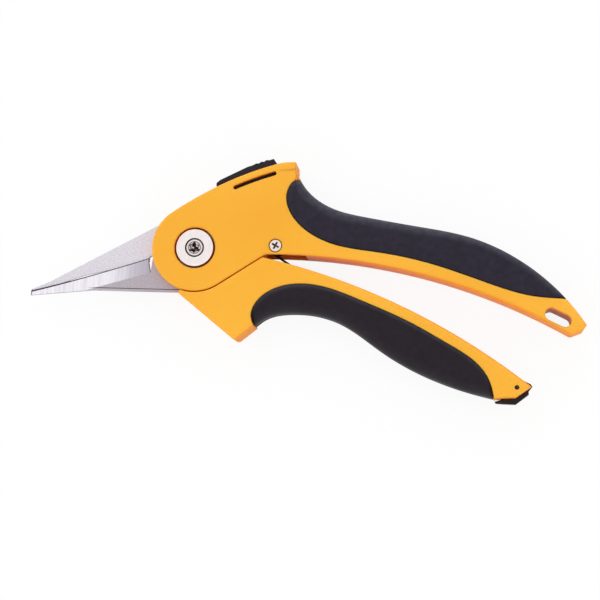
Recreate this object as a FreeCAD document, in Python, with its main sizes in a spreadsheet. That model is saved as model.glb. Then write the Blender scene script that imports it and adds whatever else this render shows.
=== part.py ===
import FreeCAD, Part, Sketcher
import math
import os

from FreeCAD import Placement, Rotation, Vector

# Pruning shears with straight snip blades, about 200 mm long.
# The pivot is on the Z axis, the closed tips point along -X, the handles along +X.
# The shears lie flat: the back faces of both handles are at Z = 0 and the front faces look up.

doc = FreeCAD.newDocument("pruning_shears")
sheet = doc.addObject("Spreadsheet::Sheet", "sizes")

SIZES = [
    ("thickness", 14.0, "handles, back face to front face"),
    ("wall", 2.2, "moulded wall of a handle shell"),
    ("fit", 0.1, "gap round a seated piece"),
    ("running_gap", 0.3, "gap between pieces that pass each other"),
    ("joint_groove", 0.25, "groove between a grip and its shell"),
    ("head_edge", 0.6, "rounding of the head's edges"),
    ("handle_edge", 2.4, "rounding of the upper handle's inner edge at its end"),
    ("top_edge", 2.0, "rounding of the lower handle's inner edge at its end"),
    ("guard_edge", 1.0, "rounding of the finger guard's edges"),
    ("palm_edge", 5.0, "rounding of the grips' outer edges"),
    ("hole_edge", 0.3, "chamfer round the holes of the front face"),
    ("grip_skin", 3.0, "soft grip over the core of its shell"),
    ("core_lap", 2.4, "core that reaches past the grip into its shell"),
    ("head_radius", 15.8, "round head of the upper handle, about the pivot"),
    ("seam_angle", -58.6, "where the head's round meets the straight seam, polar"),
    ("seam_length", 19.5, "straight seam of the upper handle"),
    ("seam_gap", 0.35, "gap along the seam of the two handles"),
    ("apex_round", 4.0, "where the upper handle's seam meets its inner edge"),
    ("inner_heading", -1.3, "direction of the upper handle's inner edge at its start"),
    ("crown_angle", 122.8, "where the head's round ends, polar"),
    ("rail_start_across", 7.6, "blade end of the slide's rail, across"),
    ("rail_start_up", 22.3, "blade end of the slide's rail, up"),
    ("rail_stop_across", 30.14, "handle end of the slide's rail, across"),
    ("rail_stop_up", 30.42, "handle end of the slide's rail, up"),
    ("rim_across", 36.9, "end of the flange behind the rail, across"),
    ("rim_up", 30.9, "end of the flange behind the rail, up"),
    ("rim_height", 2.4, "end face of the flange"),
    ("neck_across", 1.7, "top of the upper grip past the flange, across"),
    ("neck_drop", 6.5, "top of the upper grip below the flange"),
    ("scoop_depth", 0.6, "shallow facet under the flange"),
    ("upper_end_across", 133.8, "hanging end of the upper handle, across"),
    ("upper_end_down", -32.9, "hanging end of the upper handle, up"),
    ("upper_heel_across", 140.0, "outer corner of the hanging end, across"),
    ("upper_heel_down", -29.7, "outer corner of the hanging end, up"),
    ("end_round", 1.5, "round between the inner edge and the hanging end"),
    ("end_heading", 19.8, "direction of the flat of the hanging end"),
    ("end_length", 3.8, "flat of the hanging end"),
    ("top_heading", -14.0, "direction of the lower handle's inner edge at its start"),
    ("nook_round", 1.2, "round of the lower handle under the apex"),
    ("nook_room", 0.9, "lower handle's seam shorter than the upper one"),
    ("lower_end_across", 120.3, "slanted end of the lower handle, across"),
    ("lower_end_down", -51.4, "slanted end of the lower handle, up"),
    ("slant_heading", -146.0, "direction of the slanted end"),
    ("slant_length", 6.8, "slanted end of the lower handle"),
    ("belly_end_across", 106.8, "end of the lower grip's belly, across"),
    ("belly_end_down", -55.4, "end of the lower grip's belly, up"),
    ("belly_start_across", 22.6, "start of the lower grip's belly, across"),
    ("belly_start_down", -27.6, "start of the lower grip's belly, up"),
    ("guard_across", 14.5, "point of the finger guard, across"),
    ("guard_down", -33.8, "point of the finger guard, up"),
    ("guard_round", 1.2, "flat cut off the finger guard's point by its round"),
    ("toe_across", -6.2, "toe of the lower handle beside the blades, across"),
    ("toe_down", -16.3, "toe of the lower handle beside the blades, up"),
    ("foot_angle", -109.6, "where the seam opens beside the blades, polar"),
    ("opening_angle", 30.0, "full opening of the handles"),
    ("blade_thickness", 2.0, "both blades"),
    ("blade_gap", 0.1, "between the two blades"),
    ("blade_land", 0.25, "steel left at a cutting edge"),
    ("grind_width", 6.4, "ground face of a blade, across the edge"),
    ("plate_radius", 12.5, "round plate of each blade about the pivot"),
    ("tip_across", -62.2, "blunt tip of the fixed blade, across"),
    ("tip_down", -13.9, "blunt tip of the fixed blade, up"),
    ("tip_height", 1.8, "blunt tip of the fixed blade"),
    ("bend_across", -39.2, "bend of the fixed blade's spine, across"),
    ("bend_down", -14.2, "bend of the fixed blade's spine, up"),
    ("spine_across", -6.9, "spine of the fixed blade at its heel, across"),
    ("spine_down", -15.5, "spine of the fixed blade at its heel, up"),
    ("heel_across", -18.2, "heel of the fixed cutting edge, across"),
    ("heel_down", -2.6, "heel of the fixed cutting edge, up"),
    ("notch_width", 1.9, "relief notch at the heel of the edges"),
    ("notch_depth", 5.5, "relief notch of the fixed blade"),
    ("point_across", -55.2, "point of the moving blade's back, across"),
    ("point_down", -10.6, "point of the moving blade's back, up"),
    ("back_across", -11.3, "back of the moving blade at the head, across"),
    ("back_up", 11.4, "back of the moving blade at the head, up"),
    ("bolt_diameter", 5.0, "pivot bolt shank"),
    ("bolt_head_diameter", 6.6, "pivot bolt head"),
    ("bolt_head_height", 2.2, "pivot bolt head"),
    ("star_outer", 4.6, "star recess across its points"),
    ("star_inner", 3.3, "star recess across its hollows"),
    ("star_depth", 1.2, "star recess"),
    ("disc_diameter", 13.5, "bright pivot disc round the bolt head"),
    ("disc_proud", 0.45, "pivot disc above the front face"),
    ("disc_chamfer", 0.35, "rim of the pivot disc"),
    ("disc_hole_gap", 0.7, "dark ring round the pivot disc"),
    ("bush_wall", 1.4, "bush on the pivot bolt"),
    ("washer_diameter", 14.0, "bearing washer behind the blades"),
    ("washer_thickness", 0.9, "bearing washer behind the blades"),
    ("nut_width", 9.0, "pivot nut across flats"),
    ("nut_recess", 0.6, "pivot nut below the back face"),
    ("nut_chamfer", 0.5, "corners of the pivot nut"),
    ("screw_across", 29.5, "shell screw and spring coil, across"),
    ("screw_up", 0.3, "shell screw and spring coil, up"),
    ("screw_head_diameter", 4.5, "shell screw head"),
    ("screw_head_height", 1.4, "shell screw head"),
    ("screw_diameter", 2.2, "shell screw shank"),
    ("cross_length", 2.9, "cross recess of the shell screw"),
    ("cross_width", 0.7, "cross recess of the shell screw"),
    ("cross_depth", 0.9, "cross recess of the shell screw"),
    ("cross_angle", -30.0, "cross recess of the shell screw, turned"),
    ("boss_diameter", 3.6, "boss round the shell screw"),
    ("wire_diameter", 0.8, "opening spring wire"),
    ("coil_radius", 2.5, "opening spring, centre of the wire"),
    ("coil_pitch", 0.85, "opening spring"),
    ("lower_leg", 13.5, "spring leg that pushes the lower handle"),
    ("lower_leg_angle", -34.7, "direction of that leg, polar"),
    ("upper_leg", 8.0, "spring leg held in the upper handle"),
    ("upper_leg_angle", 10.0, "direction of that leg, polar"),
    ("chamber_wall", 1.8, "walls of the spring chamber on both faces"),
    ("chamber_start", 3.9, "spring chamber before the screw"),
    ("chamber_length", 15.4, "spring chamber along the inner edge"),
    ("chamber_slant", 3.5, "slant of the spring chamber's far end"),
    ("chamber_rise", 1.2, "spring chamber above the screw"),
    ("rail_depth", 3.2, "centre line of the slide window below the rail"),
    ("window_width", 1.6, "slide window"),
    ("window_start", 105.0, "handle end of the slide window, about the rail's centre"),
    ("window_stop", 112.4, "blade end of the slide window, about the rail's centre"),
    ("slide_travel", 5.0, "way of the lock slide along the rail"),
    ("slide_start", 104.1, "handle end of the slide's cap, about the rail's centre"),
    ("slide_stop", 115.4, "blade end of the slide's cap, about the rail's centre"),
    ("slide_width", 10.0, "slide's cap across the thickness"),
    ("slide_height", 2.9, "slide's cap above the rail"),
    ("slide_lift", 0.25, "slide's cap clear of the rail"),
    ("runner_height", 3.8, "runner of the slide behind the window"),
    ("web_start", 107.0, "handle end of the slide's web, about the rail's centre"),
    ("web_stop", 112.5, "blade end of the slide's web, about the rail's centre"),
    ("web_thickness", 2.4, "web between the slide's cap and its runner"),
    ("lock_pin_diameter", 1.2, "pin of the slide that holds the blade's finger"),
    ("lock_pin_angle", 110.4, "lock pin about the rail's centre"),
    ("lock_pin_room", 3.0, "lock pin into the slide's runner"),
    ("finger_thickness", 1.0, "latch finger of the moving blade"),
    ("finger_rise", 1.1, "latch finger past the lock pin's centre"),
    ("post_diameter", 4.0, "moulded posts through the blades' tangs"),
    ("hang_across", 130.0, "hanging slot, across"),
    ("hang_up", -27.1, "hanging slot, up"),
    ("hang_length", 9.8, "hanging slot"),
    ("hang_width", 4.4, "hanging slot"),
    ("hang_angle", -27.0, "hanging slot, polar"),
    ("hook_pin_across", 115.1, "pin of the end hook, across"),
    ("hook_pin_up", -51.7, "pin of the end hook, up"),
    ("hook_pin_diameter", 1.6, "pin of the end hook"),
    ("hook_pin_short", 0.6, "pin of the end hook below the back face"),
    ("hook_length", 13.4, "end hook from its nose to its barb"),
    ("hook_thickness", 3.0, "end hook"),
]

for row, (alias, value, note) in enumerate(SIZES, start=1):
    sheet.set("A%d" % row, note)
    sheet.set("B%d" % row, str(value))
    sheet.setAlias("B%d" % row, alias)
doc.recompute()


def size(alias):
    """A driving dimension as a number."""
    return float(sheet.get(alias))


def value(formula):
    """A formula on the sheet as a number."""
    return float(sheet.evalExpression(formula))


def spot(name):
    """A point whose place across and up is on the sheet."""
    down = name + "_down"
    return Vector(size(name + "_across"), size(down if sheet.getCellFromAlias(down) else name + "_up"), 0)


# ---------------------------------------------------------------- points and outlines

def polar(radius, angle, centre=Vector(0, 0, 0)):
    """A point at a radius and an angle in degrees about a centre."""
    return along(centre, angle, radius)


def along(point, angle, distance):
    """The point at a distance from another in a direction given in degrees."""
    turn = math.radians(angle)
    return Vector(point.x + distance * math.cos(turn), point.y + distance * math.sin(turn), 0)


def direction(start, end):
    """The direction in degrees from one point to another."""
    return math.degrees(math.atan2(end.y - start.y, end.x - start.x))


def normal_degrees(angle):
    """An angle brought between -180 and 180 degrees."""
    return math.remainder(angle, 360.0)


def run(start, end, pairs):
    """Points beside the line between two others: shares of its length along it and to its left."""
    chord = direction(start, end)
    length = (end - start).Length
    return [along(along(start, chord, share * length), chord + 90.0, left * length)
            for share, left in pairs]


def in_head_radii(pairs):
    """Points given in radii of the head."""
    return [Vector(across, up, 0) * size("head_radius") for across, up in pairs]


def heading_after(start, heading, end):
    """The heading at the end of the arc that leaves a point along a heading."""
    return heading + 2.0 * normal_degrees(direction(start, end) - heading)


class Outline:
    """A pen that draws lines, arcs and smooth curves end to end, and knows its heading."""

    def __init__(self, start, heading=0.0):
        self.first = start
        self.point = start
        self.heading = heading
        self.curves = []

    def line(self, length):
        return self.line_to(along(self.point, self.heading, length))

    def line_to(self, point):
        self.curves.append(Part.LineSegment(self.point, point))
        self.heading = direction(self.point, point)
        self.point = point
        return self

    def lines_to(self, corners):
        for corner in corners:
            self.line_to(corner)
        return self

    def arc_to(self, point):
        """An arc that leaves along the heading and ends at the point."""
        chord = direction(self.point, point)
        half_turn = normal_degrees(chord - self.heading)
        half_chord = (point - self.point).Length / 2.0
        rise = half_chord * math.tan(math.radians(half_turn / 2.0))
        middle = along((self.point + point) * 0.5, chord - 90.0, rise)
        self.curves.append(Part.Arc(self.point, middle, point))
        self.heading = self.heading + 2.0 * half_turn
        self.point = point
        return self

    def turn(self, radius, angle):
        """A round corner of that radius; a positive angle turns to the left."""
        chord = 2.0 * radius * math.sin(math.radians(abs(angle) / 2.0))
        return self.arc_to(along(self.point, self.heading + angle / 2.0, chord))

    def swing(self, centre, angle):
        """An arc about a centre through an angle, positive to the left."""
        radius = (self.point - centre).Length
        start = direction(centre, self.point)
        middle = polar(radius, start + angle / 2.0, centre)
        end = polar(radius, start + angle, centre)
        self.curves.append(Part.Arc(self.point, middle, end))
        self.heading = start + angle + math.copysign(90.0, angle)
        self.point = end
        return self

    def curve(self, stations):
        """A smooth curve through the stations."""
        spline = Part.BSplineCurve()
        spline.interpolate([self.point] + stations)
        self.curves.append(spline)
        end = spline.tangent(spline.LastParameter)[0]
        self.heading = math.degrees(math.atan2(end.y, end.x))
        self.point = stations[-1]
        return self

    def close(self):
        return self.line_to(self.first)


def polygon(corners):
    """Straight sides through the given corners."""
    return Outline(corners[0]).lines_to(corners[1:]).close().curves


def moved_along_normals(stations, distance):
    """Stations moved to the left of their own run by a distance."""
    moved = []
    last = len(stations) - 1
    for index, station in enumerate(stations):
        before = stations[max(index - 1, 0)]
        after = stations[min(index + 1, last)]
        moved.append(along(station, direction(before, after) + 90.0, distance))
    return moved


def ring_sector(centre, inner, outer, start, stop):
    """The part of a flat ring between two polar angles."""
    pen = Outline(polar(inner, start, centre))
    pen.line_to(polar(outer, start, centre))
    pen.swing(centre, stop - start)
    pen.line_to(polar(inner, stop, centre))
    if inner > 0:
        pen.swing(centre, start - stop)
    return pen.curves


def ring_slot(centre, radius, width, start, stop):
    """A curved slot with round ends."""
    pen = Outline(polar(radius - width / 2.0, start, centre), start - 90.0)
    pen.arc_to(polar(radius + width / 2.0, start, centre))
    pen.swing(centre, stop - start)
    pen.heading = stop + 90.0
    pen.arc_to(polar(radius - width / 2.0, stop, centre))
    pen.swing(centre, start - stop)
    return pen.curves


def stadium(centre, length, width, angle):
    """A straight slot with round ends."""
    straight = length - width
    pen = Outline(along(along(centre, angle, -straight / 2.0), angle - 90.0, width / 2.0), angle)
    pen.line(straight)
    pen.turn(width / 2.0, 180.0)
    pen.line(straight)
    pen.turn(width / 2.0, 180.0)
    return pen.curves


def star(outer, inner):
    """A star recess with six rounded points, drawn as a twelve-cornered outline."""
    corners = [polar((inner, outer)[corner % 2] / 2.0, 30.0 * corner) for corner in range(12)]
    return polygon(corners)


# ---------------------------------------------------------------- features

def drawn(name, curves, low):
    """A sketch of a closed outline at a height given as a formula on the sheet."""
    sketch = doc.addObject("Sketcher::SketchObject", name + "_outline")
    sketch.addGeometry(curves, False)
    sketch.setExpression("Placement.Base.z", low)
    return sketch


def raised(name, base, low, high):
    solid = doc.addObject("Part::Extrusion", name)
    solid.Base = base
    solid.DirMode = "Custom"
    solid.Dir = Vector(0, 0, 1)
    solid.Solid = True
    solid.setExpression("LengthFwd", "(%s) - (%s)" % (high, low))
    return solid


def prism(name, curves, low, high):
    """A closed outline raised from one height to another; both are formulas on the sheet."""
    return raised(name, drawn(name, curves, low), low, high)


def spread(name, curves, gap, low, high):
    """A prism whose outline stands a gap outside the curves."""
    wide = doc.addObject("Part::Offset2D", name + "_spread")
    wide.Source = drawn(name, curves, low)
    wide.setExpression("Value", gap)
    return raised(name, wide, low, high)


def cylinder(name, place, low, high, diameter):
    """An upright cylinder; place is the name of a point on the sheet, or the point itself."""
    solid = doc.addObject("Part::Cylinder", name)
    solid.setExpression("Radius", "(%s) / 2" % diameter)
    solid.setExpression("Height", "(%s) - (%s)" % (high, low))
    solid.setExpression("Placement.Base.z", low)
    put(solid, place)
    return solid


def put(solid, place):
    """Move a piece across and up to a point on the sheet, or to a worked-out point."""
    if isinstance(place, str):
        solid.setExpression("Placement.Base.x", "sizes.%s_across" % place)
        solid.setExpression("Placement.Base.y", "sizes.%s_up" % place)
    else:
        solid.Placement.Base = Vector(place.x, place.y, solid.Placement.Base.z)


def turned(name, profile, place=Vector(0, 0, 0)):
    """A lathe piece about an upright axis; the profile is radii and heights, both formulas."""
    body = doc.addObject("PartDesign::Body", name)
    sketch = body.newObject("Sketcher::SketchObject", name + "_profile")
    sketch.AttachmentSupport = (body.Origin.OriginFeatures[4], [""])
    sketch.MapMode = "FlatFace"
    corners = [Vector(value(radius), value(height), 0) for radius, height in profile]
    last = len(corners) - 1
    for index, corner in enumerate(corners):
        after = corners[index + 1 if index < last else 0]
        sketch.addGeometry(Part.LineSegment(corner, after), False)
    for index, (radius, height) in enumerate(profile):
        sketch.addConstraint(Sketcher.Constraint("Coincident", (index or last + 1) - 1, 2, index, 1))
        if value(radius) == 0.0:
            sketch.addConstraint(Sketcher.Constraint("PointOnObject", index, 1, -2))
        else:
            across = Sketcher.Constraint("DistanceX", -1, 1, index, 1, value(radius))
            sketch.setExpression("Constraints[%d]" % sketch.addConstraint(across), radius)
        up = Sketcher.Constraint("DistanceY", -1, 1, index, 1, value(height))
        sketch.setExpression("Constraints[%d]" % sketch.addConstraint(up), height)
    lathe = body.newObject("PartDesign::Revolution", name + "_lathe")
    lathe.Profile = sketch
    lathe.ReferenceAxis = (sketch, ["V_Axis"])
    lathe.Angle = 360.0
    put(body, place)
    return body


def nut(name, across, low, high):
    """An upright six-sided prism of a width across flats, about the pivot."""
    solid = doc.addObject("Part::Prism", name)
    solid.Polygon = 6
    solid.setExpression("Circumradius", "(%s) / 2 / cos(30)" % across)
    solid.setExpression("Height", "(%s) - (%s)" % (high, low))
    solid.setExpression("Placement.Base.z", low)
    return solid


def fuse(name, pieces):
    if len(pieces) == 1:
        return pieces[0]
    joined = doc.addObject("Part::MultiFuse", name)
    joined.Shapes = pieces
    return joined


def cut(name, base, tools):
    result = doc.addObject("Part::Cut", name)
    result.Base = base
    result.Tool = fuse(name + "_tools", tools)
    return result


def common(name, pieces):
    result = doc.addObject("Part::MultiCommon", name)
    result.Shapes = pieces
    return result


def countersink(name, place, radius, height):
    """A cone that chamfers the rim of a hole in the front face."""
    cone = doc.addObject("Part::Cone", name)
    cone.setExpression("Radius1", radius)
    cone.setExpression("Radius2", "(%s) + 2 * sizes.hole_edge" % radius)
    cone.setExpression("Height", "2 * sizes.hole_edge")
    cone.setExpression("Placement.Base.z", "(%s) - sizes.hole_edge" % height)
    put(cone, place)
    return cone


def edges_along(solid, curve, heights):
    """The solid's flat edges that run along a curve at the given heights, and which way they run."""
    ends = (curve.value(curve.FirstParameter), curve.value(curve.LastParameter))
    middle = curve.value((curve.FirstParameter + curve.LastParameter) / 2.0)
    found = []
    for number, edge in enumerate(solid.Shape.Edges, start=1):
        for height in heights:
            lift = Vector(0, 0, height)
            if all(edge.distToShape(Part.Vertex(place + lift))[0] < NEAR for place in (*ends, middle)):
                begins = edge.valueAt(edge.FirstParameter)
                found.append((number, (begins - ends[0] - lift).Length < NEAR))
    return found


def soften(name, base, groups, heights):
    """Round the edges along the curves of each group, from one named radius to another."""
    rounded = doc.addObject("Part::Fillet", name)
    rounded.Base = base
    doc.recompute()
    edges = []
    for curves, first, second in groups:
        for curve in curves:
            for number, forward in edges_along(base, curve, heights):
                radii = (size(first), size(second)) if forward else (size(second), size(first))
                edges.append((number, *radii))
    rounded.Edges = edges
    return rounded


NODES = []


def node(name, result):
    """Give a finished sub-part its own name."""
    result.Label = name
    NODES.append(result)
    return result


NEAR = 1e-4
origin = Vector(0, 0, 0)
BELOW = "-1"
FRONT = "sizes.thickness"
ABOVE = "sizes.thickness + 1"
MIDDLE = "sizes.thickness / 2"
FIXED_LOW = "sizes.thickness / 2 + sizes.blade_gap / 2"
FIXED_HIGH = FIXED_LOW + " + sizes.blade_thickness"
MOVING_HIGH = "sizes.thickness / 2 - sizes.blade_gap / 2"
MOVING_LOW = MOVING_HIGH + " - sizes.blade_thickness"
MOVING_ROOM = MOVING_LOW + " - sizes.blade_gap"

thickness = size("thickness")
head = size("head_radius")
seam_heading = size("seam_angle") + 90.0

# ---------------------------------------------------------------- outline of the upper handle

crown = polar(head, size("crown_angle"))
rail_start = spot("rail_start")
rail_stop = spot("rail_stop")
rim_end = spot("rim")
grip_top = rim_end + Vector(size("neck_across"), -size("neck_drop"), 0)
upper_heel = spot("upper_heel")

# The rail is an arc; its centre is the axis that the lock slide turns about
rail_heading = heading_after(crown, size("crown_angle") - 90.0, rail_start)
rail_turn = 2.0 * normal_degrees(rail_heading - direction(rail_start, rail_stop))
rail_radius = (rail_stop - rail_start).Length / 2.0 / math.sin(math.radians(rail_turn / 2.0))
rail_centre = along(rail_start, rail_heading - 90.0, rail_radius)

# Back of the upper grip, from the hanging end to the flange
upper_back = run(upper_heel, grip_top, [
    (0.153, -0.064), (0.303, -0.089), (0.441, -0.082), (0.595, -0.0415), (0.765, 0.009),
    (0.871, 0.031), (0.948, 0.0235),
])


def upper_outline():
    """The upper handle from the head's seam round to the rail and the head's back."""
    pen = Outline(polar(head, size("seam_angle")), seam_heading)
    pen.line(size("seam_length"))
    pen.turn(size("apex_round"), size("inner_heading") - seam_heading)
    pen.arc_to(spot("upper_end"))
    pen.turn(size("end_round"), size("end_heading") - pen.heading)
    pen.line(size("end_length"))
    pen.line_to(upper_heel)
    pen.curve(upper_back + [grip_top, rim_end - Vector(0, size("rim_height"), 0)])
    pen.line_to(rim_end)
    pen.heading = 2.0 * direction(rim_end, rail_stop) - (rail_heading - rail_turn + 180.0)
    pen.arc_to(rail_stop)
    pen.arc_to(rail_start)
    pen.arc_to(crown)
    pen.swing(origin, 360.0 + size("seam_angle") - size("crown_angle"))
    return pen.curves


upper_curves = upper_outline()
upper_form = prism("upper_form", upper_curves, "0", FRONT)
upper_rounded = soften("upper_rounded", upper_form, [
    (upper_curves[:2] + upper_curves[8:], "head_edge", "head_edge"),
    (upper_curves[2:3], "head_edge", "handle_edge"),
    (upper_curves[3:6], "handle_edge", "handle_edge"),
    (upper_curves[6:7], "handle_edge", "palm_edge"),
], [0.0, thickness])

# ---------------------------------------------------------------- outline of the lower handle

belly_end = spot("belly_end")
belly_start = spot("belly_start")

# Belly of the lower grip, from the slanted end to the guard
lower_belly = run(belly_end, belly_start, [
    (0.127, 0.006), (0.304, -0.005), (0.492, -0.047), (0.682, -0.103), (0.786, -0.104),
    (0.884, -0.081), (0.959, -0.045),
])


def lower_outline():
    """The lower handle from the seam, along its inner edge, back by the belly and the guard."""
    seam = head + size("seam_gap")
    pen = Outline(polar(seam, size("seam_angle")), seam_heading)
    pen.line(size("seam_length") - size("nook_room"))
    pen.turn(size("nook_round"), size("top_heading") - seam_heading)
    pen.arc_to(spot("lower_end"))
    pen.heading = size("slant_heading")
    pen.line(size("slant_length"))
    pen.line_to(belly_end)
    pen.curve(lower_belly + [belly_start])
    guard = spot("guard")
    toe = spot("toe")
    pen.line_to(along(guard, direction(guard, belly_start), size("guard_round")))
    pen.arc_to(along(guard, direction(guard, toe), size("guard_round")))
    pen.line_to(toe)
    pen.line_to(polar(seam, size("foot_angle")))
    pen.swing(origin, size("seam_angle") - size("foot_angle"))
    return pen.curves


lower_curves = lower_outline()
lower_form = prism("lower_form", lower_curves, "0", FRONT)
lower_shell_form = soften("lower_shell_form", lower_form, [
    (lower_curves[:2] + lower_curves[9:], "head_edge", "head_edge"),
    (lower_curves[2:3], "head_edge", "top_edge"),
    (lower_curves[3:4] + lower_curves[6:8], "guard_edge", "guard_edge"),
    (lower_curves[8:9], "guard_edge", "head_edge"),
], [0.0, thickness])
lower_grip_form = soften(
    "lower_grip_form", lower_form, [(lower_curves[5:6], "palm_edge", "palm_edge")], [0.0, thickness])

# ---------------------------------------------------------------- grips and the cores under them

upper_grip_line = run(upper_heel, grip_top, [
    (0.988, -0.016), (1.018, 0.017), (1.021, 0.046), (1.012, 0.0735), (0.9725, 0.1125),
    (0.890, 0.139), (0.810, 0.136), (0.6675, 0.093), (0.481, 0.0465), (0.287, 0.020),
    (0.195, 0.001), (0.100, -0.0375), (0.056, -0.059),
])
lower_grip_line = run(belly_end, belly_start, [
    (0.973, 0.045), (1.008, 0.016), (1.032, -0.024), (1.025, -0.087), (0.975, -0.154),
    (0.900, -0.198), (0.800, -0.221), (0.626, -0.215), (0.407, -0.1895), (0.227, -0.151),
    (0.119, -0.120), (0.047, -0.074), (-0.0035, 0.0), (-0.017, 0.031),
])


def region(stations, far_corners):
    """A smooth line closed by far corners."""
    return Outline(stations[0]).curve(stations[1:]).lines_to(far_corners).close().curves


def core(skin_stations, line_stations, skin, lap):
    """A core under the grip's skin, that reaches past the grip's line into the shell."""
    under_skin = moved_along_normals(skin_stations, skin)
    in_shell = moved_along_normals(line_stations, lap)
    pen = Outline(under_skin[0]).curve(under_skin[1:]).line_to(in_shell[0])
    return pen.curve(in_shell[1:]).close().curves


upper_core = core(upper_back[1:], upper_grip_line[3:10], size("grip_skin"), -size("core_lap"))
lower_core = core(lower_belly, lower_grip_line[2:10], -size("grip_skin"), size("core_lap"))

# Corners well outside the handles, in radii of the head
upper_corners = in_head_radii([(10.1, -0.6), (10.1, 3.8), (2.8, 3.8)])
lower_corners = in_head_radii([(6.7, -5.1), (1.5, -5.1)])

FAR = 400.0


def slab(name, low, high):
    """A wide slab between two heights."""
    wide = doc.addObject("Part::Box", name)
    wide.Length = FAR
    wide.Width = FAR
    wide.Placement = Placement(Vector(-FAR / 2, -FAR / 2, 0), Rotation())
    wide.setExpression("Height", "(%s) - (%s)" % (high, low))
    wide.setExpression("Placement.Base.z", low)
    return wide


HALVES = {
    "front": (slab("front_half", MIDDLE, FRONT), MIDDLE, "sizes.thickness - sizes.grip_skin"),
    "back": (slab("back_half", "0", MIDDLE), "sizes.grip_skin", MIDDLE),
}


def shell_and_grip(handle, side, shell_form, grip_form, line, groove, corners, core_curves):
    """One half of a handle: its grip, and its bare shell with the core that carries the grip."""
    name = "%s_%s" % (handle, side)
    half, core_low, core_high = HALVES[side]
    grip_half = common(name + "_grip_half", [grip_form, half])
    carrier = prism(name + "_core", core_curves, core_low, core_high)
    beyond = prism(name + "_region", region(line, corners), BELOW, ABOVE)
    inner_line = moved_along_normals(line, groove)
    inner = prism(name + "_inner", region(inner_line, corners), BELOW, ABOVE)
    grip_part = common(name + "_grip_part", [grip_half, inner])
    node(name + "_grip", cut(name + "_grip_cut", grip_part, [carrier]))
    bare = cut(name + "_bare", common(name + "_half", [shell_form, half]), [beyond])
    return fuse(name + "_blank", [bare, common(name + "_core_part", [carrier, grip_half])])


upper_blanks = [
    shell_and_grip("upper", side, upper_rounded, upper_rounded, upper_grip_line,
                   size("joint_groove"), upper_corners, upper_core)
    for side in HALVES]
lower_blanks = [
    shell_and_grip("lower", side, lower_shell_form, lower_grip_form, lower_grip_line,
                   -size("joint_groove"), lower_corners, lower_core)
    for side in HALVES]

# ---------------------------------------------------------------- blades

plate = size("plate_radius")
tip = spot("tip")
heel = spot("heel")
notch_side = heel + Vector(size("notch_width"), 0, 0)
spine = spot("spine")
bend = spot("bend")
opening = size("opening_angle")

# The moving blade's finger and the ear that carries it, about the pivot
lock_spot = polar(rail_radius - size("rail_depth"), size("lock_pin_angle"), rail_centre)
lock_radius = lock_spot.Length
lock_polar = direction(origin, lock_spot)
pin_half = math.degrees((size("lock_pin_diameter") + size("running_gap")) / 2.0 / lock_radius)
finger_near = lock_polar + pin_half
finger_far = finger_near + math.degrees(size("finger_thickness") / lock_radius)
ear_near = lock_polar - 2.0 * pin_half
ear_far = finger_far + 12.0
ear_top = lock_radius - (size("lock_pin_diameter") + size("running_gap")) / 2.0 - size("fit")
finger_top = lock_radius + size("finger_rise")


def fixed_blade_outline():
    """The front blade: cutting edge up, relief notch at its heel, tang into the upper handle."""
    pen = Outline(tip - Vector(0, size("tip_height"), 0))
    pen.lines_to([bend, spine, polar(plate, 262.0)])
    pen.swing(origin, 48.0)
    pen.lines_to(in_head_radii([(1.39, 0.28), (1.49, 0.66), (1.14, 0.87)]))
    pen.line_to(polar(plate, 80.0))
    pen.swing(origin, 90.0)
    pen.line_to(notch_side)
    foot = heel + Vector(size("notch_width") / 2.0, -size("notch_depth"), 0)
    pen.line_to(foot + Vector(size("fit"), 0, 0))
    pen.line_to(foot - Vector(size("fit"), 0, 0))
    pen.line_to(heel)
    pen.heading = direction(heel, tip) + 2.5
    pen.arc_to(tip)
    return pen.close().curves


def moving_blade_outline():
    """The rear blade: cutting edge down, latch finger above, tang into the lower handle."""
    point = spot("point")
    nose = tip + Vector(0, size("tip_height") / 4.0, 0)
    low_nose = tip - Vector(0, size("tip_height") / 2.0, 0)
    pen = Outline(nose)
    pen.line_to(low_nose)
    pen.lines_to(run(low_nose, heel, [(0.45, 0.015)]) + [heel - Vector(0, 1.0, 0), heel])
    pen.heading = 90.0
    pen.arc_to(notch_side)
    pen.line_to(polar(plate, 192.0))
    pen.swing(origin, 90.0)
    pen.lines_to(in_head_radii([
        (0.25, -1.17), (1.2, -1.30), (2.53, -1.19), (2.69, -1.01), (2.5, -0.85), (1.11, -0.73)]))
    pen.line_to(polar(plate, -40.0))
    pen.swing(origin, ear_near + 40.0)
    pen.line_to(polar(ear_top, ear_near))
    pen.swing(origin, finger_near - ear_near)
    pen.line_to(polar(finger_top, finger_near))
    pen.swing(origin, finger_far - finger_near)
    pen.lines_to([polar(ear_top - size("finger_thickness") * 3.0, finger_far + 1.0), polar(plate, ear_far)])
    pen.swing(origin, 112.0 - ear_far)
    pen.lines_to([spot("back"), point])
    return pen.close().curves


def grind(name, start, heading, face, over):
    """A block whose flat side is the ground face of a blade, to the left of its heading."""
    block = doc.addObject("Part::Box", name)
    block.Length = "120 mm"
    block.Width = "40 mm"
    block.Height = "10 mm"
    lean = math.degrees(math.atan((size("blade_thickness") - size("blade_land")) / size("grind_width")))
    roll = -lean if over else 180.0 - lean
    turn = Rotation(Vector(0, 0, 1), heading) * Rotation(Vector(1, 0, 0), roll)
    base = Vector(start.x, start.y, face)
    block.Placement = Placement(base, turn) * Placement(Vector(-60.0, 0, 0), Rotation())
    return block


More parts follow.
